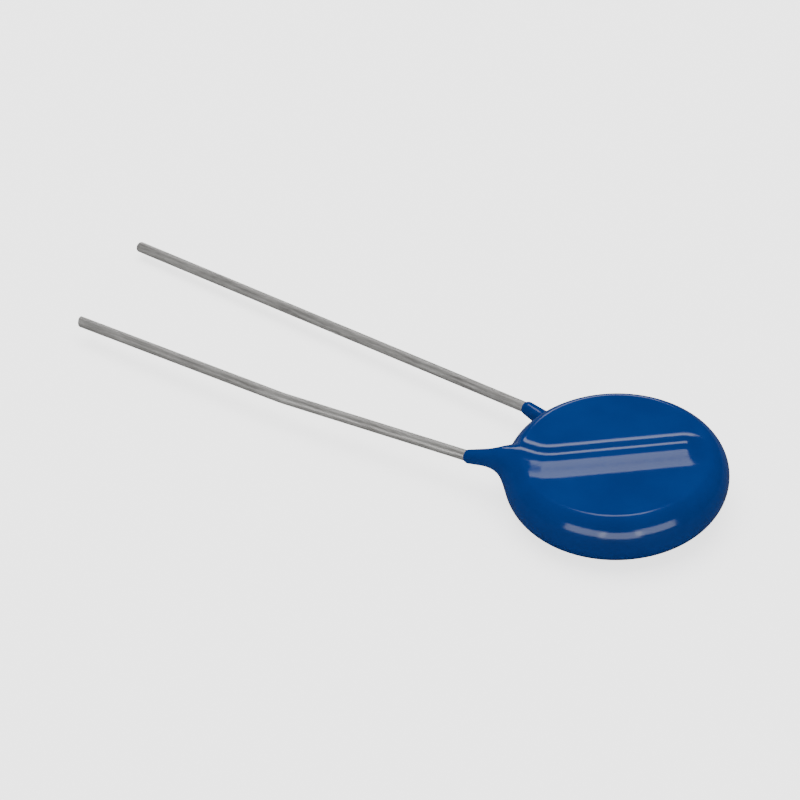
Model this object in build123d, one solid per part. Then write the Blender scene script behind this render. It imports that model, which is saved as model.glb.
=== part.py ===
from build123d import *
import math
import os

# A leaded disc varistor: a zinc oxide disc with a silver layer on each face,
# a tinned wire soldered to each layer, all dipped in epoxy.
# Millimetres, +Z up. The leads run toward -X. The upper lead is on the -Y side.

CERAMIC_DIAMETER = 14.0
CERAMIC_THICKNESS = 1.8
CERAMIC_EDGE = 0.15
SILVER_INSET = 0.5
SILVER_THICKNESS = 0.03
RIM_COAT = 1.0
FACE_COAT = 1.3
WIRE_DIAMETER = 0.8
WIRE_COAT = 0.75
WIRE_END_BREAK = 0.08
SOLDER_GAP = 0.04
SOLDER_HEIGHT = 0.6
SOLDER_WIDTH = 2.6
SOLDER_TOP_WIDTH = 1.3
SOLDER_INSET = 0.8
LEAD_PITCH = 8.0
LEAD_OFFSET = 0.6
INNER_END = 4.0
INNER_SPREAD = 2.7
KNEE = 4.0
KNEE_RADIUS = 2.0
UPPER_SPLAY = 4.06
LOWER_SPLAY = 3.4
UPPER_LENGTH = 33.2
LOWER_LENGTH = 35.7
UPPER_BEND = 15.0
UPPER_BEND_ANGLE = 4.4
UPPER_BEND_RADIUS = 8.0
STEP_GAP = 0.1
STEP_LENGTH = 2.4
STEP_RADIUS = 1.5
HORN_ROOT = 0.6
HORN_REACH = 2.9
HORN_TIP_COAT = 0.12
HORN_STATIONS = [0.0, 0.1, 0.3, 0.5, 0.7, 0.9, 1.0]
SEAM_RADII = [1.0, 1.3, 0.7, 0.5, 0.3]

CERAMIC_RADIUS = CERAMIC_DIAMETER / 2
CERAMIC_TOP = CERAMIC_THICKNESS / 2
BODY_RADIUS = CERAMIC_RADIUS + RIM_COAT
HALF_BODY = CERAMIC_TOP + FACE_COAT
RIM_CENTRE = BODY_RADIUS - HALF_BODY
WIRE_RADIUS = WIRE_DIAMETER / 2
SILVER_TOP = CERAMIC_TOP + SILVER_THICKNESS
WIRE_HEIGHT = SILVER_TOP + SOLDER_GAP + WIRE_RADIUS
RIDGE_RADIUS = WIRE_RADIUS + WIRE_COAT
RIDGE_CREST = WIRE_HEIGHT + RIDGE_RADIUS
TIP_RADIUS = WIRE_RADIUS + HORN_TIP_COAT
STEP_START = CERAMIC_RADIUS + STEP_GAP
STEP_END = STEP_START + STEP_LENGTH
EXIT_X = STEP_END + HORN_REACH - STEP_LENGTH


def splay_y(splay, x):
    """How far to the side a lead is, at a distance x toward -X."""
    return -LEAD_PITCH / 2 - (x - EXIT_X) * math.tan(math.radians(splay))


def lead_points(splay, length, bend, bend_angle):
    """Corners of a lead on the upper face, from its inner end to its cut tip."""
    turn = Vector(-EXIT_X - bend, splay_y(splay, EXIT_X + bend), LEAD_OFFSET)
    heading = math.radians(splay - bend_angle)
    rest = (length - bend) * Vector(-math.cos(heading), -math.sin(heading), 0)
    corners = [
        Vector(INNER_END, INNER_SPREAD, WIRE_HEIGHT),
        Vector(-KNEE, splay_y(splay, KNEE), WIRE_HEIGHT),
        Vector(-STEP_START, splay_y(splay, STEP_START), WIRE_HEIGHT),
        Vector(-STEP_END, splay_y(splay, STEP_END), LEAD_OFFSET),
    ]
    if bend_angle:
        corners.append(turn)
    return corners + [turn + rest]


def lead_path(points):
    radii = [KNEE_RADIUS, STEP_RADIUS, STEP_RADIUS, UPPER_BEND_RADIUS]
    return FilletPolyline(*points, radius=radii[: len(points) - 2])


def ring(path, distance, radius):
    """A circle square to the path, with its seam always on the same side."""
    centre = path.position_at(distance, position_mode=PositionMode.LENGTH)
    heading = path.tangent_at(distance, position_mode=PositionMode.LENGTH)
    side = heading.cross(Vector(0, 0, 1))
    return Plane(origin=centre, x_dir=side, z_dir=heading) * Circle(radius)


def wire(points):
    path = lead_path(points)
    rod = sweep(ring(path, 0, WIRE_RADIUS), path=path)
    tip = rod.edges().sort_by(Axis.X)[0]
    return fillet(tip, WIRE_END_BREAK)


def body():
    """The dipped disc: flat faces and a full round rim."""
    with BuildPart() as pillbox:
        with BuildSketch(Plane.XZ):
            Rectangle(RIM_CENTRE, 2 * HALF_BODY, align=(Align.MIN, Align.CENTER))
            with Locations((RIM_CENTRE, 0)):
                Circle(HALF_BODY)
            Rectangle(BODY_RADIUS, 2 * BODY_RADIUS, align=(Align.MAX, Align.CENTER), mode=Mode.SUBTRACT)
        revolve(axis=Axis.Z)
    return pillbox.part


def shoulder(points):
    """Where the ridge ends and the horn begins."""
    return points[2] + (points[1] - points[2]).normalized() * HORN_ROOT


def cover(points):
    """The ridge over the soldered wire, and the horn that tapers to the bare wire."""
    path = lead_path(points)
    ridge_path = FilletPolyline(points[0], points[1], shoulder(points), radius=KNEE_RADIUS)
    ridge = sweep(ring(ridge_path, 0, RIDGE_RADIUS), path=ridge_path)
    rings = []
    for share in HORN_STATIONS:
        ease = 0.5 + 0.5 * math.cos(math.pi * share**0.8)
        radius = TIP_RADIUS + (RIDGE_RADIUS - TIP_RADIUS) * ease
        distance = ridge_path.length + (HORN_ROOT + HORN_REACH) * share
        rings.append(ring(path, distance, radius))
    return ridge + Pos(points[0]) * Sphere(RIDGE_RADIUS) + loft(rings)


def blend(shape, seam):
    """Round the seam as widely as it allows."""
    for radius in SEAM_RADII:
        try:
            return fillet(seam, radius)
        except ValueError:
            continue
    return shape


def covered(shape, lump):
    joined = shape + lump
    return blend(joined, new_edges(shape, lump, combined=joined))


def solder(points):
    """A long low mound that holds the wire to the silver."""
    heading = (points[1] - points[0]).normalized()
    middle = (points[0] + points[1]) / 2
    span = (points[1] - points[0]).length - 2 * SOLDER_INSET
    base = Plane(origin=(middle.X, middle.Y, SILVER_TOP), x_dir=heading, z_dir=(0, 0, 1))
    low = base * SlotCenterToCenter(span, SOLDER_WIDTH)
    high = base.offset(SOLDER_HEIGHT) * SlotCenterToCenter(span, SOLDER_TOP_WIDTH)
    return loft([low, high])


def ceramic():
    disc = Cylinder(CERAMIC_RADIUS, CERAMIC_THICKNESS)
    return fillet(disc.edges().filter_by(GeomType.CIRCLE), CERAMIC_EDGE)


def silver():
    radius = CERAMIC_RADIUS - SILVER_INSET
    return Pos(0, 0, CERAMIC_TOP) * extrude(Circle(radius), SILVER_THICKNESS)


def flipped(shape):
    """The same shape on the lower face, on the +Y side."""
    return Rot(180, 0, 0) * shape


def lean(points):
    """The turn that brings the rim down while both ends of the lower ridge stay on the table."""
    end = shoulder(points)
    start = Vector(points[0].X, -points[0].Y, -RIDGE_CREST)
    crest = Vector(end.X, -end.Y, -RIDGE_CREST) - start
    heading = crest.normalized()
    reach = RIM_CENTRE + start.X * heading.Y - start.Y * heading.X
    turn = math.acos(HALF_BODY / math.hypot(RIDGE_CREST, reach)) - math.atan2(reach, RIDGE_CREST)
    return Axis(start, crest), -math.degrees(turn)


upper = lead_points(UPPER_SPLAY, UPPER_LENGTH, UPPER_BEND, UPPER_BEND_ANGLE)
lower = lead_points(LOWER_SPLAY, LOWER_LENGTH, 0, 0)
upper_wire = wire(upper)
lower_wire = flipped(wire(lower))
upper_mound = solder(upper)
lower_mound = flipped(solder(lower))
outer = covered(covered(body(), cover(upper)), flipped(cover(lower)))
core = ceramic() + silver() + flipped(silver())

nodes = {
    "epoxy_coating": outer - core - upper_mound - lower_mound - upper_wire - lower_wire,
    "ceramic_disc": ceramic(),
    "upper_silver": silver(),
    "lower_silver": flipped(silver()),
    "upper_solder": upper_mound - upper_wire,
    "lower_solder": lower_mound - lower_wire,
    "upper_lead": upper_wire,
    "lower_lead": lower_wire,
}

crest, angle = lean(lower)
leaned = {name: shape.rotate(crest, angle) for name, shape in nodes.items()}
box = Compound(children=[Compound(shape.solids()) for shape in leaned.values()]).bounding_box()
seat = Pos(-box.center().X, -box.center().Y, -box.min.Z)

os.makedirs("parts", exist_ok=True)
for name, shape in leaned.items():
    solid = seat * shape
    solid.label = name
    export_step(solid, f"parts/{name}.step")
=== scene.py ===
import math

import bpy
import numpy as np
from mathutils import Matrix, Vector


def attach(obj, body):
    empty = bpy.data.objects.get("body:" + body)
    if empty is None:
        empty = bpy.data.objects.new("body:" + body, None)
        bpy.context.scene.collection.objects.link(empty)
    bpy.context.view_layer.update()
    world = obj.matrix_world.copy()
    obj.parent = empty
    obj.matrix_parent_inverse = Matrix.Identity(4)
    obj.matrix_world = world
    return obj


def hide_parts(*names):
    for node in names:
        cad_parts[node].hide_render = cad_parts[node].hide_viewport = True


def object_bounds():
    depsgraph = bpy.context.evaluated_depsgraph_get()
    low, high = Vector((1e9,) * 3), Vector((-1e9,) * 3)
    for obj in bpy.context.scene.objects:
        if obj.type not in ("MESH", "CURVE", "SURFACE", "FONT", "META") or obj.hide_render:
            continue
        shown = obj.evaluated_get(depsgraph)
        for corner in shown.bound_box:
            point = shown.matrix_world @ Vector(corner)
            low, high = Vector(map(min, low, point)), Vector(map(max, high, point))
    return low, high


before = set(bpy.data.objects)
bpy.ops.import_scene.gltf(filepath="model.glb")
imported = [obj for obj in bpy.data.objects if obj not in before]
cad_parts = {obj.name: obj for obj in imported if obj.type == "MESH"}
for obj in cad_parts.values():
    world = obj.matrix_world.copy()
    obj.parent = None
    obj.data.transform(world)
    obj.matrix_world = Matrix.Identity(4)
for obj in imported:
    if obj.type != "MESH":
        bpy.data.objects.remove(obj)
cad_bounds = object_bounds()
MM = 0.001

# ---- sizes, in millimetres, in the disc's own frame (leads toward -X) ----
RIM_CENTRE = 5.8
RIM_ROUND = 2.2
FLAT = 2.0
SHOULDER_BLEND = 0.08
VALLEY = 1.7
WIRE = 0.4
WIRE_HEIGHT = 1.37
PITCH = 8.0
EXIT_X = 10.0
INNER = (4.0, 2.7)
KNEE_X = 4.0
STEP_START = 7.1
STEP_END = 9.5
LEAD_OFFSET = 0.6
RIDGE = 0.74
HORN_TIP = 0.52
HORN_END = 9.72
SKIN_STEP = 0.13
SKIN_PASSES = 6
LEAD_STEP = 0.22
LEAD_SIDES = 44
# ---- the cut end of a lead: how far along, and the share of the wire's radius ----
CUT_END = ((0.0, 1.0), (0.03, 0.985), (0.055, 0.94), (0.07, 0.86), (0.074, 0.6), (0.076, 0.3))
CUT_LEAN = 0.09


def side_y(splay, x):
    return -PITCH / 2 - (x - EXIT_X) * math.tan(math.radians(splay))


def corners(splay, length, bend, bend_angle):
    """The corners of the upper lead's centre line; the lower lead is the same, turned over."""
    turn = np.array([-EXIT_X - bend, side_y(splay, EXIT_X + bend), LEAD_OFFSET])
    heading = math.radians(splay - bend_angle)
    tip = turn + (length - bend) * np.array([-math.cos(heading), -math.sin(heading), 0])
    points = [
        np.array([INNER[0], INNER[1], WIRE_HEIGHT]),
        np.array([-KNEE_X, side_y(splay, KNEE_X), WIRE_HEIGHT]),
        np.array([-STEP_START, side_y(splay, STEP_START), WIRE_HEIGHT]),
        np.array([-STEP_END, side_y(splay, STEP_END), LEAD_OFFSET]),
    ]
    if bend_angle:
        points.append(turn)
    return points + [tip]


UPPER = corners(4.06, 33.2, 15.0, 4.4)
LOWER = corners(3.4, 35.7, 0.0, 0.0)
TURN_OVER = np.array([1.0, -1.0, -1.0])


def rounded(points, radii, spacing):
    """A polyline with arcs at its corners, as points about one spacing apart."""
    out = [points[0]]
    for i in range(1, len(points) - 1):
        a = points[i - 1] - points[i]
        b = points[i + 1] - points[i]
        ua, ub = a / np.linalg.norm(a), b / np.linalg.norm(b)
        half = math.acos(float(np.clip(ua @ ub, -1, 1))) / 2
        cut = radii[i - 1] / math.tan(half)
        p, q = points[i] + ua * cut, points[i] + ub * cut
        centre = points[i] + (ua + ub) / np.linalg.norm(ua + ub) * radii[i - 1] / math.sin(half)
        sweep = math.pi - 2 * half
        steps = max(3, int(radii[i - 1] * sweep / spacing) + 1)
        e, f = p - centre, q - centre
        for t in np.linspace(0, 1, steps):
            out.append(centre + (math.sin((1 - t) * sweep) * e + math.sin(t * sweep) * f) / math.sin(sweep))
    out.append(points[-1])
    path = np.array(out)
    reach = np.r_[0, np.cumsum(np.linalg.norm(np.diff(path, axis=0), axis=1))]
    keep = np.r_[True, np.diff(reach) > 1e-6]
    path, reach = path[keep], reach[keep]
    even = np.linspace(0, reach[-1], int(reach[-1] / spacing) + 1)
    return np.stack([np.interp(even, reach, path[:, k]) for k in range(3)], 1)


# ---- where the disc's frame lies in the row's frame, read from the CAD ----
def disc_frame():
    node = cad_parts["ceramic_disc"]
    weights = np.array([p.area for p in node.data.polygons])
    normals = np.array([p.normal for p in node.data.polygons])
    centres = np.array([p.center for p in node.data.polygons])
    up = normals[normals[:, 2] > 0.99]
    axis = (up * weights[normals[:, 2] > 0.99][:, None]).sum(0)
    axis /= np.linalg.norm(axis)
    centre = (centres * weights[:, None]).sum(0) / weights.sum()
    turn = Vector((0, 0, 1)).rotation_difference(Vector(axis)).to_matrix()
    return np.array(turn), centre


TURN, CENTRE = disc_frame()


def to_row(points_mm):
    return np.asarray(points_mm) @ TURN.T * MM + CENTRE


# ---- the dipped skin as a distance field ----
def smin(a, b, k):
    h = np.maximum(k - np.abs(a - b), 0) / k
    return np.minimum(a, b) - h * h * k * 0.25


def round_cone(p, a, b, ra, rb):
    ab = b - a
    t = np.clip(((p - a) @ ab) / (ab @ ab), 0, 1)
    return np.linalg.norm(p - a - t[..., None] * ab, axis=-1) - (ra + (rb - ra) * t)


def lead_field(p, points):
    out = points[4] - points[3]
    out = out / np.linalg.norm(out)
    tip = points[3] + out * (HORN_END - STEP_END)
    knee = rounded(points[:3], [2.4], 0.8)
    field = round_cone(p, knee[0], knee[1], RIDGE, RIDGE)
    for a, b in zip(knee[1:-1], knee[2:]):
        field = np.minimum(field, round_cone(p, a, b, RIDGE, RIDGE))
    return np.minimum(field, round_cone(p, knee[-1], tip, RIDGE, HORN_TIP))


def disc_field(p):
    r = np.hypot(p[..., 0], p[..., 1])
    rim = np.hypot(np.maximum(r - RIM_CENTRE, 0), p[..., 2]) - RIM_ROUND
    return -smin(-rim, FLAT - np.abs(p[..., 2]), SHOULDER_BLEND)


def coat_field(p):
    field = disc_field(p)
    field = smin(field, lead_field(p, UPPER), VALLEY)
    return smin(field, lead_field(p * TURN_OVER, LOWER), VALLEY)


def core_field(p):
    """What the coating is wrapped around: the ceramic, the silver, the solder and the wire inside."""
    r = np.hypot(p[..., 0], p[..., 1])
    d = np.maximum(r - 6.95, np.abs(p[..., 2]) - 0.9)
    for q, points in ((p, UPPER), (p * TURN_OVER, LOWER)):
        d = np.minimum(d, round_cone(q, points[0], points[1], 0.46, 0.46))
    return d


def shell_field(p):
    return np.maximum(coat_field(p), -core_field(p))


def surface(field, low, high, step, passes):
    """One vertex in each cell the surface crosses, joined in quads, smoothed and put back on the surface."""
    axes = [np.arange(l, h + step, step) for l, h in zip(low, high)]
    grid = np.stack(np.meshgrid(*axes, indexing="ij"), -1)
    value = np.concatenate([field(slab) for slab in np.array_split(grid, 12, axis=0)], 0)
    inside = value < 0
    cell = np.zeros(tuple(n - 1 for n in inside.shape), int)
    for i in (0, 1):
        for j in (0, 1):
            for k in (0, 1):
                cell += inside[i : i + cell.shape[0], j : j + cell.shape[1], k : k + cell.shape[2]]
    mixed = (cell > 0) & (cell < 8)
    index = -np.ones(cell.shape, int)
    index[mixed] = np.arange(mixed.sum())
    where = np.argwhere(mixed)
    verts = np.array(low) + (where + 0.5) * step
    quads = []
    for axis in range(3):
        a = np.take(inside, range(inside.shape[axis] - 1), axis)
        b = np.take(inside, range(1, inside.shape[axis]), axis)
        u, v = [k for k in range(3) if k != axis]
        for flip, hit in ((False, a & ~b), (True, ~a & b)):
            at = np.argwhere(hit)
            at = at[(at[:, u] > 0) & (at[:, v] > 0)]
            ring = []
            for du, dv in ((0, 0), (-1, 0), (-1, -1), (0, -1)):
                w = at.copy()
                w[:, u] += du
                w[:, v] += dv
                ring.append(index[w[:, 0], w[:, 1], w[:, 2]])
            ring = np.stack(ring, 1)
            if flip != (axis == 1):
                ring = ring[:, ::-1]
            quads.append(ring)
    quads = np.concatenate(quads)
    near = np.concatenate([quads[:, [i, (i + 1) % 4]] for i in range(4)])
    count = np.bincount(near.ravel(), minlength=len(verts))[:, None]

    def gradient(p, e=0.01):
        g = [field(p + np.eye(3)[k] * e) - field(p - np.eye(3)[k] * e) for k in range(3)]
        return np.stack(g, -1) / (2 * e)

    def settle(p):
        g = gradient(p)
        size = np.maximum((g * g).sum(-1), 0.2)
        return p - np.clip(field(p) / size, -step, step)[:, None] * g

    for i in range(passes):
        total = np.zeros_like(verts)
        np.add.at(total, near[:, 0], verts[near[:, 1]])
        np.add.at(total, near[:, 1], verts[near[:, 0]])
        verts = settle(verts * 0.4 + total / count * 0.6)
    for i in range(3):
        verts = settle(verts)
    return verts, quads


def mesh_object(name, verts, faces, smooth=True):
    mesh = bpy.data.meshes.new(name)
    mesh.from_pydata([tuple(v) for v in verts], [], [tuple(int(i) for i in f) for f in faces])
    mesh.update()
    mesh.validate()
    mesh.polygons.foreach_set("use_smooth", [smooth] * len(mesh.polygons))
    piece = bpy.data.objects.new(name, mesh)
    bpy.context.scene.collection.objects.link(piece)
    return piece


# ---- materials ----
def material(name):
    mat = bpy.data.materials.new(name)
    mat.use_nodes = True
    tree = mat.node_tree
    return mat, tree.nodes, tree.links, tree.nodes["Principled BSDF"]


def noise(nodes, links, source, scale, detail=4.0, roughness=0.55, stretch=None):
    node = nodes.new("ShaderNodeTexNoise")
    node.inputs["Scale"].default_value = scale
    node.inputs["Detail"].default_value = detail
    node.inputs["Roughness"].default_value = roughness
    if stretch is None:
        links.new(source, node.inputs["Vector"])
    else:
        mapping = nodes.new("ShaderNodeMapping")
        mapping.inputs["Scale"].default_value = stretch
        links.new(source, mapping.inputs["Vector"])
        links.new(mapping.outputs["Vector"], node.inputs["Vector"])
    return node.outputs["Fac"]


def ramp(nodes, links, source, stops):
    node = nodes.new("ShaderNodeValToRGB")
    while len(node.color_ramp.elements) < len(stops):
        node.color_ramp.elements.new(0.5)
    for element, (place, colour) in zip(node.color_ramp.elements, stops):
        element.position = place
        element.color = (*colour, 1)
    links.new(source, node.inputs["Fac"])
    return node.outputs["Color"]


def spread(nodes, links, source, low, high, a=0.3, b=0.7):
    node = nodes.new("ShaderNodeMapRange")
    node.inputs["From Min"].default_value = a
    node.inputs["From Max"].default_value = b
    node.inputs["To Min"].default_value = low
    node.inputs["To Max"].default_value = high
    links.new(source, node.inputs["Value"])
    return node.outputs["Result"]


def bump(nodes, links, source, strength, distance, normal=None):
    node = nodes.new("ShaderNodeBump")
    node.inputs["Strength"].default_value = strength
    node.inputs["Distance"].default_value = distance
    links.new(source, node.inputs["Height"])
    if normal is not None:
        links.new(normal, node.inputs["Normal"])
    return node.outputs["Normal"]


def epoxy():
    mat, nodes, links, shader = material("blue_epoxy")
    here = nodes.new("ShaderNodeTexCoord").outputs["Object"]
    cloud = noise(nodes, links, here, 260, 3.0, 0.5)
    colour = ramp(nodes, links, cloud, [(0.3, (0.0, 0.031, 0.185)), (0.7, (0.0, 0.038, 0.215))])
    links.new(colour, shader.inputs["Base Color"])
    grain = noise(nodes, links, here, 4200, 2.0, 0.6)
    links.new(spread(nodes, links, grain, 0.10, 0.16), shader.inputs["Roughness"])
    shader.inputs["IOR"].default_value = 1.5
    wave = noise(nodes, links, here, 420, 2.0, 0.45)
    first = bump(nodes, links, wave, 0.06, 0.0002)
    links.new(bump(nodes, links, grain, 0.03, 0.00003, first), shader.inputs["Normal"])
    return mat


def tinned():
    mat, nodes, links, shader = material("tinned_wire")
    here = nodes.new("ShaderNodeTexCoord").outputs["Object"]
    streak = noise(nodes, links, here, 1.0, 5.0, 0.65, (260, 5200, 5200))
    mottle = noise(nodes, links, here, 1.0, 4.0, 0.6, (900, 1500, 1500))
    greys = [(0.3, (0.36, 0.35, 0.34)), (0.5, (0.62, 0.61, 0.59)), (0.75, (0.78, 0.77, 0.75))]
    colour = ramp(nodes, links, streak, greys)
    links.new(colour, shader.inputs["Base Color"])
    shader.inputs["Metallic"].default_value = 0.7
    links.new(spread(nodes, links, mottle, 0.32, 0.52), shader.inputs["Roughness"])
    first = bump(nodes, links, streak, 0.35, 0.00004)
    links.new(bump(nodes, links, mottle, 0.25, 0.00003, first), shader.inputs["Normal"])
    return mat


def zinc_oxide():
    mat, nodes, links, shader = material("zinc_oxide")
    here = nodes.new("ShaderNodeTexCoord").outputs["Object"]
    grain = noise(nodes, links, here, 5200, 6.0, 0.7)
    colour = ramp(nodes, links, grain, [(0.35, (0.035, 0.034, 0.033)), (0.65, (0.085, 0.082, 0.078))])
    links.new(colour, shader.inputs["Base Color"])
    links.new(spread(nodes, links, grain, 0.55, 0.8), shader.inputs["Roughness"])
    links.new(bump(nodes, links, grain, 0.3, 0.00003), shader.inputs["Normal"])
    return mat


def silver():
    mat, nodes, links, shader = material("fired_silver")
    here = nodes.new("ShaderNodeTexCoord").outputs["Object"]
    grain = noise(nodes, links, here, 3600, 6.0, 0.7)
    colour = ramp(nodes, links, grain, [(0.3, (0.66, 0.65, 0.61)), (0.7, (0.84, 0.83, 0.8))])
    links.new(colour, shader.inputs["Base Color"])
    shader.inputs["Metallic"].default_value = 1.0
    links.new(spread(nodes, links, grain, 0.45, 0.65), shader.inputs["Roughness"])
    links.new(bump(nodes, links, grain, 0.25, 0.00002), shader.inputs["Normal"])
    return mat


def solder():
    mat, nodes, links, shader = material("solder")
    here = nodes.new("ShaderNodeTexCoord").outputs["Object"]
    wave = noise(nodes, links, here, 1300, 4.0, 0.5)
    colour = ramp(nodes, links, wave, [(0.3, (0.5, 0.5, 0.51)), (0.7, (0.68, 0.68, 0.69))])
    links.new(colour, shader.inputs["Base Color"])
    shader.inputs["Metallic"].default_value = 1.0
    links.new(spread(nodes, links, wave, 0.22, 0.38), shader.inputs["Roughness"])
    links.new(bump(nodes, links, wave, 0.3, 0.00006), shader.inputs["Normal"])
    return mat


def dress(piece, mat):
    piece.data.materials.clear()
    piece.data.materials.append(mat)


# ---- the coating ----
EPOXY, TINNED = epoxy(), tinned()
verts, quads = surface(shell_field, (-10.6, -8.5, -3.4), (8.5, 8.5, 3.4), SKIN_STEP, SKIN_PASSES)
skin = mesh_object("coating_skin", to_row(verts), quads)
dress(skin, EPOXY)
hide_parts("epoxy_coating")
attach(skin, "root")


# ---- the leads ----
def lead(name, node, points, radii, turned_over, tilt):
    path = rounded(points, radii, LEAD_STEP)
    if turned_over:
        path = path * TURN_OVER
    ahead = np.gradient(path, axis=0)
    ahead /= np.linalg.norm(ahead, axis=1)[:, None]
    side = np.cross(ahead, (0, 0, 1.0))
    side /= np.linalg.norm(side, axis=1)[:, None]
    top = np.cross(side, ahead)
    around = LEAD_SIDES
    angle = np.arange(around) * 2 * math.pi / around
    out = np.cos(angle)[None, :, None] * side[:, None] + np.sin(angle)[None, :, None] * top[:, None]
    rings = path[:, None] + out * WIRE
    lean = (np.cos(angle) * math.cos(tilt) + np.sin(angle) * math.sin(tilt))[:, None] * CUT_LEAN
    extra = []
    for back, share in CUT_END:
        along = back - CUT_END[-1][0] - CUT_LEAN + lean * share
        extra.append(path[-1] + ahead[-1] * along + out[-1] * WIRE * share)
    rings = np.concatenate([rings[:-2], np.array(extra)])
    first = path[0]
    last = rings[-1].mean(0)
    n = len(rings)
    verts = np.concatenate([rings.reshape(-1, 3), [first, last]])
    faces = []
    for i in range(n - 1):
        for j in range(around):
            k = (j + 1) % around
            faces.append((i * around + j, i * around + k, (i + 1) * around + k, (i + 1) * around + j))
    caps = [(n * around, (j + 1) % around, j) for j in range(around)]
    caps += [(n * around + 1, (n - 1) * around + j, (n - 1) * around + (j + 1) % around) for j in range(around)]
    piece = mesh_object(name, to_row(verts), faces + caps)
    dress(piece, TINNED)
    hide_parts(node)
    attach(piece, "root")
    return piece


lead("upper_wire", "upper_lead", UPPER, [2.0, 1.5, 1.5, 8.0], False, 0.6)
lead("lower_wire", "lower_lead", LOWER, [2.0, 1.5, 1.5], True, 2.4)

# ---- the hidden pieces keep their CAD meshes ----
for node, mat in (("ceramic_disc", zinc_oxide()), ("upper_silver", silver()), ("upper_solder", solder())):
    dress(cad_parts[node], mat)
    pair = node.replace("upper", "lower")
    if pair != node:
        dress(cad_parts[pair], mat)

# ---- table, light and camera ----
bottom = cad_bounds[0][2]
reach = 3.0
table = [(-reach, -reach, bottom), (reach, -reach, bottom), (reach, reach, bottom), (-reach, reach, bottom)]
floor = mesh_object("floor", table, [(0, 1, 2, 3)], False)
floor_mat, nodes, links, shader = material("pale_table")
mirrored = nodes.new("ShaderNodeLightPath").outputs["Is Glossy Ray"]
floor_greys = [(0.0, (0.93, 0.93, 0.93)), (1.0, (0.08, 0.08, 0.08))]
links.new(ramp(nodes, links, mirrored, floor_greys), shader.inputs["Base Color"])
shader.inputs["Roughness"].default_value = 0.9
seen = nodes.new("ShaderNodeLightPath").outputs["Is Camera Ray"]
shader.inputs["Emission Color"].default_value = (1, 1, 1, 1)
links.new(spread(nodes, links, seen, 0.0, 2.2, 0.0, 1.0), shader.inputs["Emission Strength"])
dress(floor, floor_mat)

VIEW_TURN = math.radians(34.25)
VIEW_DROP = math.radians(38.68)
VIEW_ROLL = math.radians(-2.81)
AIM = (15.302, -5.344, 318.246)


def plan(right, away, high):
    """A direction given as the viewer's right, away and up, in the disc's frame, turned into the row's frame."""
    c, s = math.cos(VIEW_TURN), math.sin(VIEW_TURN)
    return TURN @ np.array([right * c - away * s, right * s + away * c, high])


forward = plan(0, math.cos(VIEW_DROP), -math.sin(VIEW_DROP))
up0 = plan(0, math.sin(VIEW_DROP), math.cos(VIEW_DROP))
right0 = plan(1, 0, 0)
right = right0 * math.cos(VIEW_ROLL) + up0 * math.sin(VIEW_ROLL)
up = up0 * math.cos(VIEW_ROLL) - right0 * math.sin(VIEW_ROLL)
camera = bpy.data.objects.new("camera", bpy.data.cameras.new("camera"))
camera.data.lens = 202.5
camera.data.sensor_width = 36
camera.data.clip_start = 0.01
eye = CENTRE - (AIM[0] * right + AIM[1] * up + AIM[2] * forward) * MM
camera.matrix_world = Matrix(
    [[right[i], up[i], -forward[i], eye[i]] for i in range(3)] + [[0, 0, 0, 1]]
)
bpy.context.scene.collection.objects.link(camera)
bpy.context.scene.camera = camera


def strip(name, turn, rise, distance, width, height, power, seen="both"):
    """A soft light at a turn from straight away and a rise above the disc's plane; seen says by which rays."""
    turn, rise = math.radians(turn), math.radians(rise)
    way = plan(math.sin(turn) * math.cos(rise), math.cos(turn) * math.cos(rise), math.sin(rise))
    data = bpy.data.lights.new(name, "AREA")
    data.shape = "RECTANGLE"
    data.size, data.size_y = width, height
    data.energy = power
    light = bpy.data.objects.new(name, data)
    light.location = Vector(CENTRE) + Vector(way) * distance
    light.rotation_euler = Vector(way).to_track_quat("Z", "Y").to_euler()
    light.visible_diffuse = seen != "shine"
    light.visible_glossy = seen != "fill"
    bpy.context.scene.collection.objects.link(light)
    return light


strip("softbox_above", 4, 70, 0.6, 0.2, 0.2, 0.42, "shine")
strip("strip_behind", 0, 20, 0.6, 0.2, 0.14, 0.22, "shine")
for turn, rise in ((180, 13), (146, 18), (214, 18)):
    strip("front_%d" % turn, turn, rise, 0.5, 0.34, 0.2, 0.72, "shine")
strip("fill_above", 0, 80, 0.7, 0.7, 0.7, 5.2, "fill")

world = bpy.data.worlds.new("studio")
bpy.context.scene.world = world
world.use_nodes = True
nodes, links = world.node_tree.nodes, world.node_tree.links
back = nodes["Background"]
back.inputs["Color"].default_value = (1, 1, 1, 1)
path = nodes.new("ShaderNodeLightPath")
mix = nodes.new("ShaderNodeMapRange")
mix.inputs["To Min"].default_value = 0.45
mix.inputs["To Max"].default_value = 0.02
links.new(path.outputs["Is Glossy Ray"], mix.inputs["Value"])
links.new(mix.outputs["Result"], back.inputs["Strength"])
